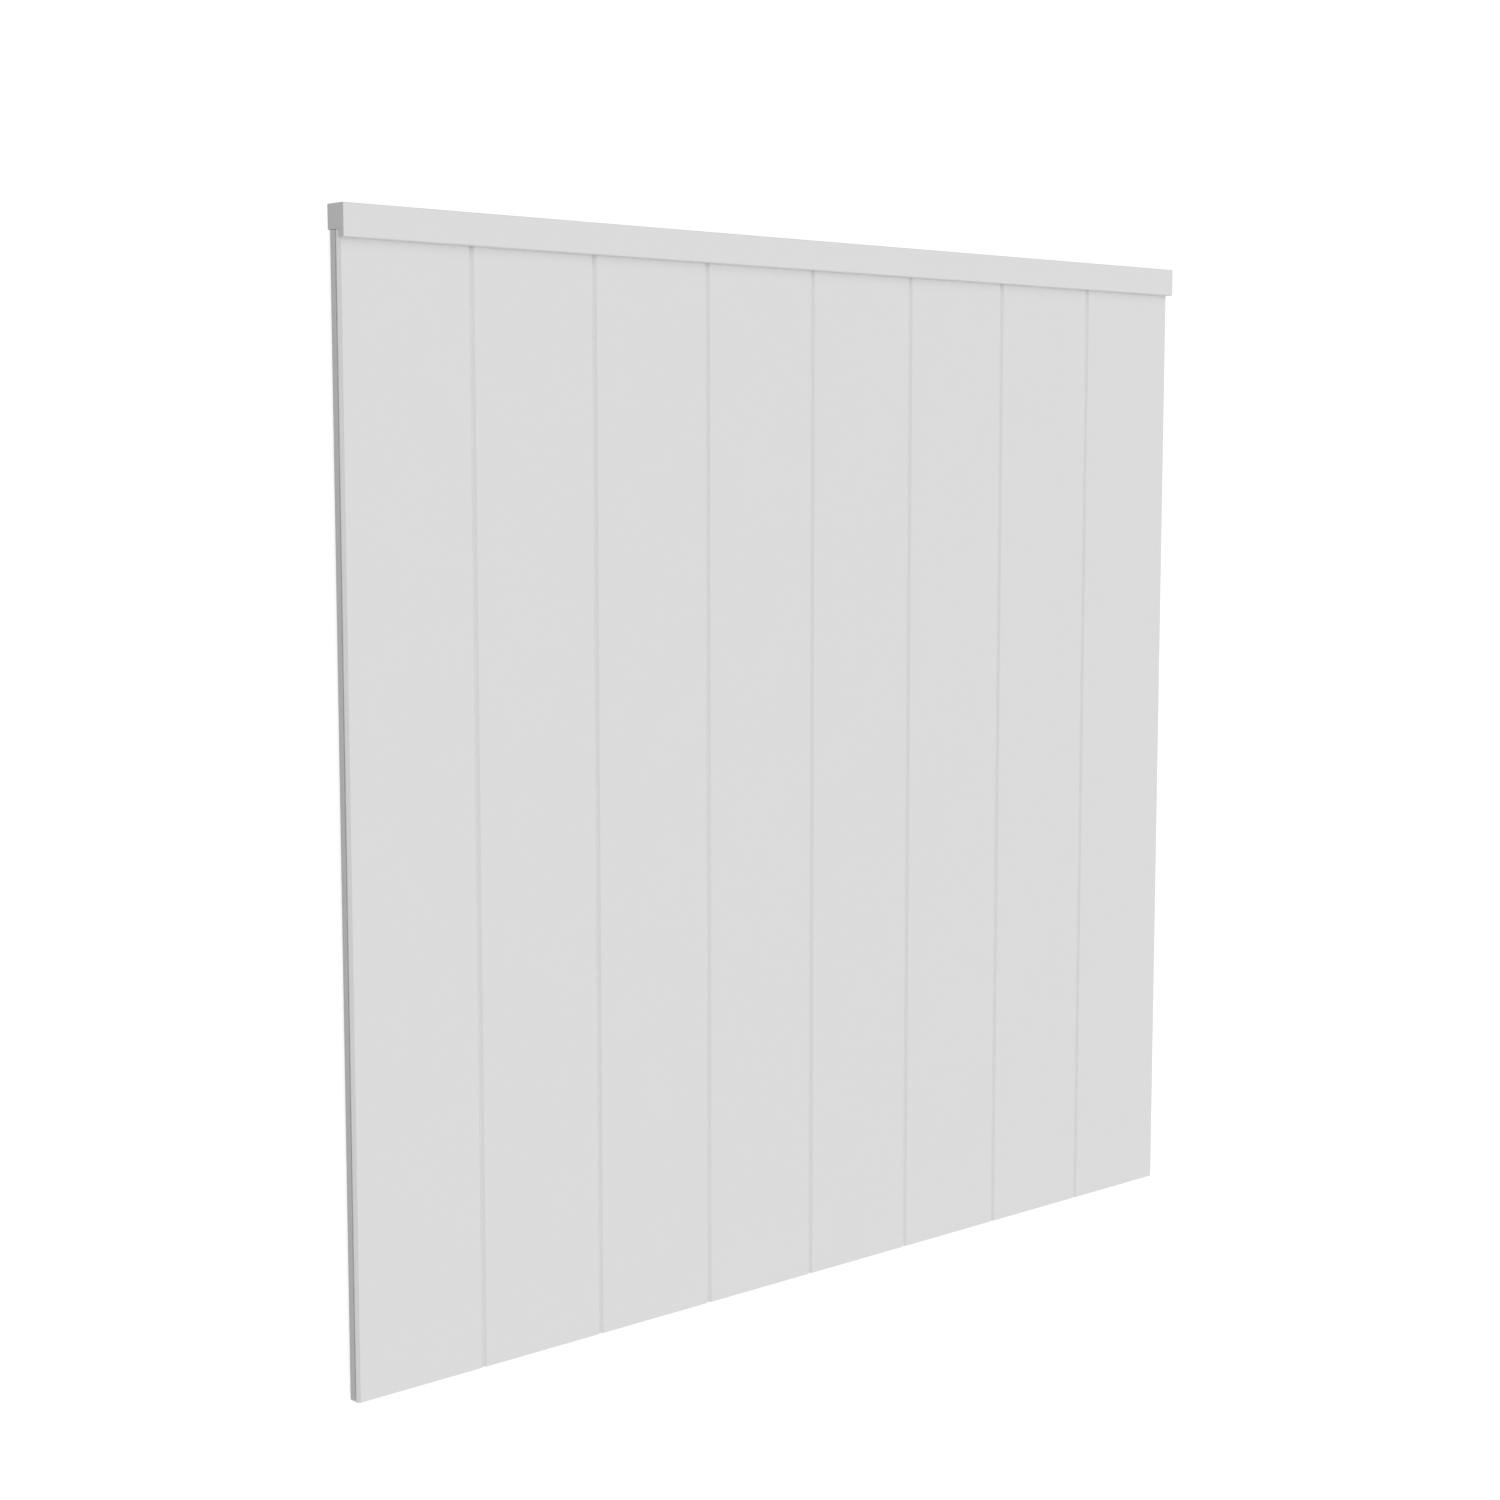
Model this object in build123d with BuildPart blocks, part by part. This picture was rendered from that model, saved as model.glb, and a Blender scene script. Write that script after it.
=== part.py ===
"""White primed MDF wall panel: a V-grooved sheet under a rebated cap rail.

The panel lies on its back, as it would on a floor. X runs across the panel, Y from its foot to its cap and
Z out of its face. The origin is under the middle of the panel, on the plane that the cap's back lies on.
"""

import math
import os

from build123d import *

# Sheet, with a pattern of boards cut into its face
board_width = 125.0
board_count = 8
sheet_height = 930.0
sheet_thickness = 12.0
v_depth = 2.5

# Side edges of the sheet: a groove for a loose tongue, between a front nose and a back lip
nose_thickness = 1.0
tongue_groove_width = 2.0
tongue_groove_depth = 6.0
back_lip_setback = 0.5

# Cap rail: a block that is glued on the sheet's top end, with a lip that laps over the face. Its rise and
# its lap are measured from that end
cap_depth = 22.0
cap_rise = 20.0
cap_lap = 6.0
cap_lip_thickness = 6.5
cap_face_clearance = 0.5
cap_front_radius = 1.0
glue_line = 0.3

# Slight rounding of all the outer corners
arris_radius = 0.2

# Sizes and places that follow from these
panel_width = board_count * board_width
panel_top = (sheet_height + cap_rise) / 2
sheet_top = panel_top - cap_rise
cap_seat = sheet_top + glue_line
cap_foot = sheet_top - cap_lap
cap_rebate_depth = cap_depth - cap_lip_thickness
face = cap_rebate_depth - cap_face_clearance
sheet_back = face - sheet_thickness
tongue_groove_front = face - v_depth - nose_thickness
tongue_groove_back = tongue_groove_front - tongue_groove_width
cap_length = panel_width - 2 * back_lip_setback


def ease_outer_corners(radius):
    """Shrinks a section and grows it back, which rounds its outer corners and keeps its inner ones sharp."""
    offset(amount=-radius, kind=Kind.INTERSECTION)
    offset(amount=radius, kind=Kind.ARC)


# The sheet's section, seen from the foot, runs from the top end down to the foot
with BuildPart() as grooved_sheet:
    with BuildSketch(Plane.XZ.offset(-sheet_top)):
        with Locations((0, sheet_back)):
            Rectangle(panel_width, sheet_thickness, align=(Align.CENTER, Align.MIN))

        # A square on its corner cuts each V, and the outermost two leave the bevels of the side edges
        v_square = v_depth * math.sqrt(2)
        with Locations((0, face)):
            with GridLocations(board_width, 1, board_count + 1, 1):
                Rectangle(v_square, v_square, rotation=45, mode=Mode.SUBTRACT)

        # Both side edges get a tongue groove, and a back lip that stands clear so that the noses meet first
        with GridLocations(panel_width, 1, 2, 1):
            with Locations((0, tongue_groove_front)):
                Rectangle(
                    2 * tongue_groove_depth,
                    tongue_groove_width,
                    align=(Align.CENTER, Align.MAX),
                    mode=Mode.SUBTRACT,
                )
            with Locations((0, sheet_back)):
                Rectangle(
                    2 * back_lip_setback,
                    tongue_groove_back - sheet_back,
                    align=(Align.CENTER, Align.MIN),
                    mode=Mode.SUBTRACT,
                )
        ease_outer_corners(arris_radius)
    extrude(amount=sheet_height)

# The cap's section, seen from its end, runs from one back lip of the sheet to the other
with BuildPart() as cap_rail:
    with BuildSketch(Plane.YZ.offset(-cap_length / 2)) as cap_section:
        with Locations((panel_top, 0)):
            Rectangle(panel_top - cap_foot, cap_depth, align=(Align.MAX, Align.MIN))
        with Locations((cap_seat, 0)):
            Rectangle(
                cap_seat - cap_foot,
                cap_rebate_depth,
                align=(Align.MAX, Align.MIN),
                mode=Mode.SUBTRACT,
            )

        # The two corners of the front that shows are rounder than the rest
        fillet(cap_section.vertices().group_by(Axis.Y)[-1], cap_front_radius)
        ease_outer_corners(arris_radius)
    extrude(amount=cap_length)

os.makedirs("parts", exist_ok=True)

grooved_sheet.part.label = "grooved_sheet"
export_step(grooved_sheet.part, "parts/grooved_sheet.step")

cap_rail.part.label = "cap_rail"
export_step(cap_rail.part, "parts/cap_rail.step")
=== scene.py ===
"""White primed MDF wall panel, on its back on a plain white floor and seen from above its left side."""

import math

import bmesh
import bpy
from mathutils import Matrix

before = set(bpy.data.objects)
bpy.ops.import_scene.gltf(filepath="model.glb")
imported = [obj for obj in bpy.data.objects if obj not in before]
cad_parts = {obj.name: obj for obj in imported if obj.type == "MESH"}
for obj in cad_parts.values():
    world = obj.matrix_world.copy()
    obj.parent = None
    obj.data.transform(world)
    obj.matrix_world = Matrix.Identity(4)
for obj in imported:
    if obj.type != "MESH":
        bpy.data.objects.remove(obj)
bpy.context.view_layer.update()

MM = 0.001

# Camera, in the panel's frame: yaw and tilt are its turns away from looking straight down on the face
CAMERA_PLACE = (-1.5928, 0.2716, 1.6995)
CAMERA_YAW_DEG = 42.0035
CAMERA_TILT_DEG = 6.261
CAMERA_LENS_MM = 61.23
SENSOR_MM = 36.0

# Light: each level is what it alone would make of a pure white surface that faces up
SKY_COLOUR = "#FFFFFF"
SKY_LEVEL = 0.53
LAMP_LEVEL = 0.31
LAMP_SPREAD_DEG = 110.0
LAMP_TILT_DEG = 5.0

# Floor: its colour is what it throws back on the panel, and the lift is what the eye sees on top of that
FLOOR_WIDTH_M = 60.0
FLOOR_COLOUR = "#9E9E9E"
FLOOR_LIFT = 0.82

# Primer: a full film on the faces of the board, and a dry one where the board has drunk it
PRIMER_IOR = 1.5
FULL_COLOUR = "#EAEAEA"
DRY_COLOUR = "#E9E9E9"
FULL_ROUGHNESS = 0.52
DRY_ROUGHNESS = 0.70
PATCH_SIZE_MM = 60.0
PATCH_DRYNESS = 0.35

# A cut across the board is told from its faces by how much of the normal points through the board
FACE_FLATNESS = 0.98
CUT_FLATNESS = 0.80

# Dimples of orange peel are about 1 mm across and fibres 0.1 mm thick. Both are finer than the picture
# can show, so they are drawn about three times as coarse
PEEL_SIZE_MM = 3.0
PEEL_DEPTH_MM = 0.010
PEEL_DETAIL = 1.0
FIBRE_LENGTH_MM = 5.0
FIBRE_THICKNESS_MM = 0.35
FIBRE_DEPTH_MM = 0.025
FIBRE_DETAIL = 3.0


def linear(hex_colour):
    """Turns an sRGB hex colour into linear red, green, blue and alpha."""
    channels = [int(hex_colour[i:i + 2], 16) / 255 for i in (1, 3, 5)]
    values = [c / 12.92 if c <= 0.04045 else ((c + 0.055) / 1.055) ** 2.4 for c in channels]
    return (*values, 1.0)


def add_node(tree, kind, settings=None, links=None):
    """Adds a node. Settings are its properties or its sockets' values, and links feed its sockets."""
    node = tree.nodes.new(kind)
    for name, value in (settings or {}).items():
        if isinstance(name, str) and hasattr(node, name):
            setattr(node, name, value)
        else:
            node.inputs[name].default_value = value
    for name, socket in (links or {}).items():
        tree.links.new(socket, node.inputs[name])
    return node


def new_tree(owner):
    """Turns on the nodes of a material or a world, and empties its tree."""
    owner.use_nodes = True
    owner.node_tree.nodes.clear()
    return owner.node_tree


def seen_by_eye(tree):
    """Is 1 on rays that reach the eye, straight, off a mirror or through glass, and 0 on all others."""
    path = add_node(tree, "ShaderNodeLightPath").outputs
    mirrored = add_node(
        tree,
        "ShaderNodeMath",
        {"operation": "ADD"},
        {0: path["Is Glossy Ray"], 1: path["Is Transmission Ray"]},
    )
    seen = add_node(
        tree,
        "ShaderNodeMath",
        {"operation": "ADD", "use_clamp": True},
        {0: path["Is Camera Ray"], 1: mirrored.outputs["Value"]},
    )
    return seen.outputs["Value"]


def primed_mdf():
    """White primer, sprayed on MDF and rubbed down.

    The film is matt and even, with faint patches where it lies thin and the soft dimples of orange peel.
    Cuts across the board drink more of it and lift their fibres, so they look duller and rougher.
    """
    material = bpy.data.materials.new("primed_mdf")
    tree = new_tree(material)
    place = add_node(tree, "ShaderNodeTexCoord").outputs

    # Dryness is full on the cuts, and rises a little in the thin patches of the faces
    normal = add_node(tree, "ShaderNodeSeparateXYZ", links={0: place["Normal"]})
    flatness = add_node(tree, "ShaderNodeMath", {"operation": "ABSOLUTE"}, {0: normal.outputs["Z"]})
    cut = add_node(
        tree,
        "ShaderNodeMapRange",
        {"From Min": FACE_FLATNESS, "From Max": CUT_FLATNESS},
        {"Value": flatness.outputs["Value"]},
    )
    patches = add_node(
        tree,
        "ShaderNodeTexNoise",
        {"Scale": 1 / (PATCH_SIZE_MM * MM)},
        {"Vector": place["Object"]},
    )
    thin = add_node(
        tree,
        "ShaderNodeMapRange",
        {"To Max": PATCH_DRYNESS},
        {"Value": patches.outputs["Fac"]},
    )
    dryness = add_node(
        tree,
        "ShaderNodeMath",
        {"operation": "MAXIMUM"},
        {0: cut.outputs["Result"], 1: thin.outputs["Result"]},
    ).outputs["Value"]

    # Sockets 6 and 7 of a Mix node are its two colours, and output 2 is the mixed one
    colour = add_node(
        tree,
        "ShaderNodeMix",
        {"data_type": "RGBA", 6: linear(FULL_COLOUR), 7: linear(DRY_COLOUR)},
        {"Factor": dryness},
    )
    roughness = add_node(
        tree,
        "ShaderNodeMapRange",
        {"To Min": FULL_ROUGHNESS, "To Max": DRY_ROUGHNESS},
        {"Value": dryness},
    )

    # Orange peel lies all over, and fibres only on the cuts, where they run in the plane of the board
    peel = add_node(
        tree,
        "ShaderNodeTexNoise",
        {"Scale": 1 / (PEEL_SIZE_MM * MM), "Detail": PEEL_DETAIL},
        {"Vector": place["Object"]},
    )
    dimples = add_node(
        tree,
        "ShaderNodeBump",
        {"Distance": PEEL_DEPTH_MM * MM},
        {"Height": peel.outputs["Fac"]},
    )
    fibre_size = (FIBRE_LENGTH_MM * MM, FIBRE_LENGTH_MM * MM, FIBRE_THICKNESS_MM * MM)
    along_fibres = add_node(
        tree,
        "ShaderNodeMapping",
        {"Scale": [1 / size for size in fibre_size]},
        {"Vector": place["Object"]},
    )
    fibres = add_node(
        tree,
        "ShaderNodeTexNoise",
        {"Scale": 1.0, "Detail": FIBRE_DETAIL},
        {"Vector": along_fibres.outputs["Vector"]},
    )
    relief = add_node(
        tree,
        "ShaderNodeBump",
        {"Distance": FIBRE_DEPTH_MM * MM},
        {
            "Strength": cut.outputs["Result"],
            "Height": fibres.outputs["Fac"],
            "Normal": dimples.outputs["Normal"],
        },
    )

    film = add_node(
        tree,
        "ShaderNodeBsdfPrincipled",
        {"IOR": PRIMER_IOR},
        {
            "Base Color": colour.outputs[2],
            "Roughness": roughness.outputs["Result"],
            "Normal": relief.outputs["Normal"],
        },
    )
    add_node(tree, "ShaderNodeOutputMaterial", links={"Surface": film.outputs["BSDF"]})
    return material


def white_floor():
    """Matt pale board, which the eye sees as pure white beyond the panel's own soft shadow."""
    material = bpy.data.materials.new("white_floor")
    tree = new_tree(material)
    board = add_node(tree, "ShaderNodeBsdfDiffuse", {"Color": linear(FLOOR_COLOUR)})
    lift = add_node(tree, "ShaderNodeMapRange", {"To Max": FLOOR_LIFT}, {"Value": seen_by_eye(tree)})
    glow = add_node(tree, "ShaderNodeEmission", links={"Strength": lift.outputs["Result"]})
    lifted = add_node(
        tree,
        "ShaderNodeAddShader",
        links={0: board.outputs["BSDF"], 1: glow.outputs["Emission"]},
    )
    add_node(tree, "ShaderNodeOutputMaterial", links={"Surface": lifted.outputs["Shader"]})
    return material


def lay_floor():
    """A wide flat floor under the panel."""
    shape = bmesh.new()
    bmesh.ops.create_grid(shape, x_segments=1, y_segments=1, size=FLOOR_WIDTH_M / 2)
    mesh = bpy.data.meshes.new("floor")
    shape.to_mesh(mesh)
    shape.free()
    mesh.materials.append(white_floor())
    floor = bpy.data.objects.new("floor", mesh)
    bpy.context.scene.collection.objects.link(floor)


def hang_lights():
    """An even sky all round, which the eye sees as white, and a broad lamp that leans to the cap."""
    world = bpy.data.worlds.new("studio")
    tree = new_tree(world)
    level = add_node(
        tree,
        "ShaderNodeMapRange",
        {"To Min": SKY_LEVEL, "To Max": 1.0},
        {"Value": seen_by_eye(tree)},
    )
    sky = add_node(
        tree,
        "ShaderNodeBackground",
        {"Color": linear(SKY_COLOUR)},
        {"Strength": level.outputs["Result"]},
    )
    add_node(tree, "ShaderNodeOutputWorld", links={"Surface": sky.outputs["Background"]})
    bpy.context.scene.world = world

    lamp = bpy.data.lights.new("overhead_lamp", "SUN")
    lamp.energy = LAMP_LEVEL * math.pi
    lamp.angle = math.radians(LAMP_SPREAD_DEG)
    overhead = bpy.data.objects.new("overhead_lamp", lamp)
    overhead.rotation_euler = (math.radians(-LAMP_TILT_DEG), 0, 0)
    bpy.context.scene.collection.objects.link(overhead)


def set_camera():
    """A camera high above the panel's left side, level with its upper half."""
    lens = bpy.data.cameras.new("camera")
    lens.lens = CAMERA_LENS_MM
    lens.sensor_width = SENSOR_MM
    camera = bpy.data.objects.new("camera", lens)
    camera.location = CAMERA_PLACE
    camera.rotation_euler = (math.radians(-CAMERA_TILT_DEG), math.radians(-CAMERA_YAW_DEG), 0)
    bpy.context.scene.collection.objects.link(camera)
    bpy.context.scene.camera = camera


primer = primed_mdf()
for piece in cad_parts.values():
    piece.data.materials.clear()
    piece.data.materials.append(primer)

lay_floor()
hang_lights()
set_camera()
bpy.context.scene.view_settings.view_transform = "Standard"
